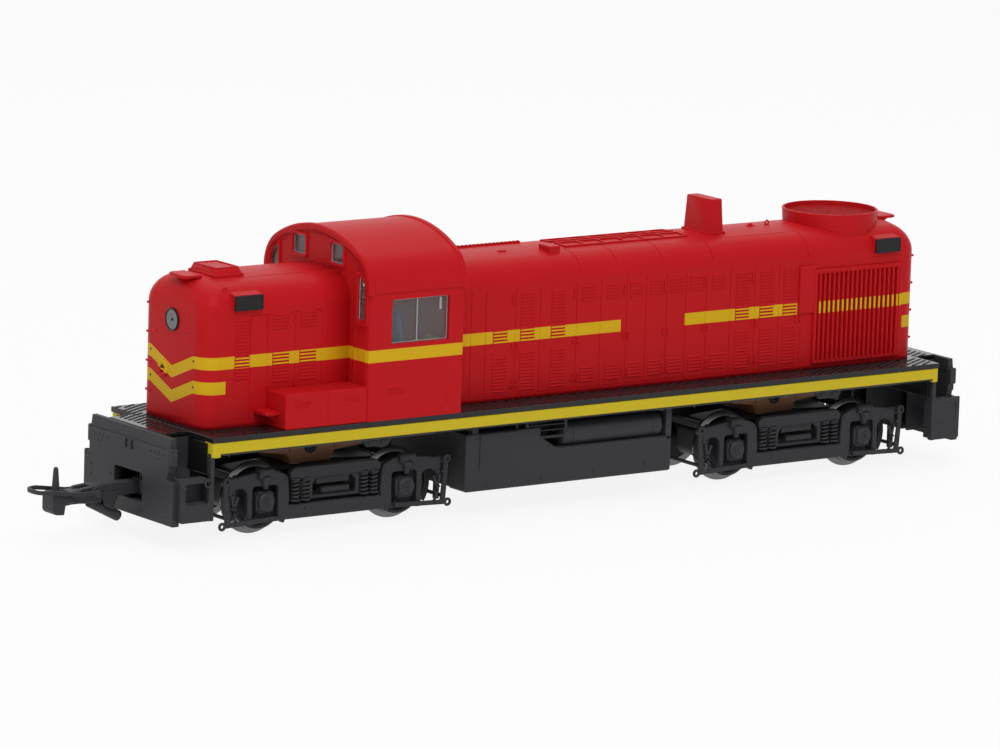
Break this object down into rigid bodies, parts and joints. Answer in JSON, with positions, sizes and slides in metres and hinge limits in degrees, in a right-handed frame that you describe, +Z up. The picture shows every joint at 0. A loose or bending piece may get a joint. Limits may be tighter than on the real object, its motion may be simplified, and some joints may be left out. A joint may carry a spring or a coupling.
{
  "type": "model diesel locomotive",
  "caption": "H0 gauge model road-switcher diesel locomotive with swivelling trucks, free-turning wheelsets and a hook-and-loop coupler at one end.",
  "frame": {"origin": "midway between the two truck centres, on the plane of the wheel flanges' lowest points", "axes": "+X towards the long hood's end, +Z up, -Y the side on the left of a crew facing the short hood"},
  "size_m": [0.2023, 0.0348, 0.054],
  "materials": {
    "body_red": "satin",
    "frame_black": "matte",
    "sill_deck": "matte",
    "clear_panes": "clear",
    "lamp_lens": "gloss",
    "board_black": "gloss",
    "gear_brown": "satin",
    "wheel_metal": "satin",
    "motor_metal": "satin",
    "cab_grey": "matte",
    "seat_blue": "matte"
  },
  "bodies": {
    "chassis": {"walkway_deck": "sill_deck", "centre_frame": "frame_black", "end_plate_front": "frame_black", "end_plate_rear": "frame_black", "steps_front": "frame_black", "steps_rear": "frame_black", "fuel_tank": "frame_black", "air_reservoirs": "frame_black", "short_hood": "body_red", "long_hood": "body_red", "motor_block": "motor_metal", "cab_front_wall": "body_red", "cab_rear_wall": "body_red", "cab_side_left": "body_red", "cab_side_right": "body_red", "cab_roof": "body_red", "cab_glazing": "clear_panes", "cab_floor": "cab_grey", "cab_seats": "seat_blue", "control_stand": "cab_grey", "battery_box_left": "body_red", "battery_box_right": "body_red", "hood_hatch": "body_red", "lamp_visors": "body_red", "headlights": "lamp_lens", "number_boards": "board_black", "roof_hatch_frames": "body_red", "exhaust_stack": "body_red", "fan_ring": "body_red", "fan_grille": "body_red", "radiator_shutters": "body_red", "end_rungs": "body_red"},
    "front_truck": {"truck_frame_front": "frame_black", "gear_tower_front": "gear_brown"},
    "rear_truck": {"truck_frame_rear": "frame_black", "gear_tower_rear": "gear_brown"},
    "front_outer_wheels": {"wheelset_1": "wheel_metal"},
    "front_inner_wheels": {"wheelset_2": "wheel_metal"},
    "rear_inner_wheels": {"wheelset_3": "wheel_metal"},
    "rear_outer_wheels": {"wheelset_4": "wheel_metal"},
    "coupler": {"coupler_head": "frame_black"},
    "loop": {"coupler_loop": "frame_black"}
  },
  "joints": [
    {"name": "front_truck_swivel", "type": "hinge", "parent": "chassis", "child": "front_truck", "pos_m": [-0.0532, 0, 0.016], "axis": [0, 0, 1], "range_deg": [-10, 10]},
    {"name": "rear_truck_swivel", "type": "hinge", "parent": "chassis", "child": "rear_truck", "pos_m": [0.0532, 0, 0.016], "axis": [0, 0, 1], "range_deg": [-10, 10]},
    {"name": "front_outer_axle", "type": "hinge", "parent": "front_truck", "child": "front_outer_wheels", "pos_m": [-0.0684, 0, 0.0067], "axis": [0, 1, 0], "continuous": true},
    {"name": "front_inner_axle", "type": "hinge", "parent": "front_truck", "child": "front_inner_wheels", "pos_m": [-0.038, 0, 0.0067], "axis": [0, 1, 0], "continuous": true},
    {"name": "rear_inner_axle", "type": "hinge", "parent": "rear_truck", "child": "rear_inner_wheels", "pos_m": [0.038, 0, 0.0067], "axis": [0, 1, 0], "continuous": true},
    {"name": "rear_outer_axle", "type": "hinge", "parent": "rear_truck", "child": "rear_outer_wheels", "pos_m": [0.0684, 0, 0.0067], "axis": [0, 1, 0], "continuous": true},
    {"name": "coupler_swing", "type": "hinge", "parent": "chassis", "child": "coupler", "pos_m": [-0.0862, 0, 0.0092], "axis": [0, 0, 1], "range_deg": [-12, 12]},
    {"name": "coupler_loop_lift", "type": "hinge", "parent": "coupler", "child": "loop", "pos_m": [-0.0978, 0, 0.0092], "axis": [0, 1, 0], "range_deg": [0, 20]}
  ]
}
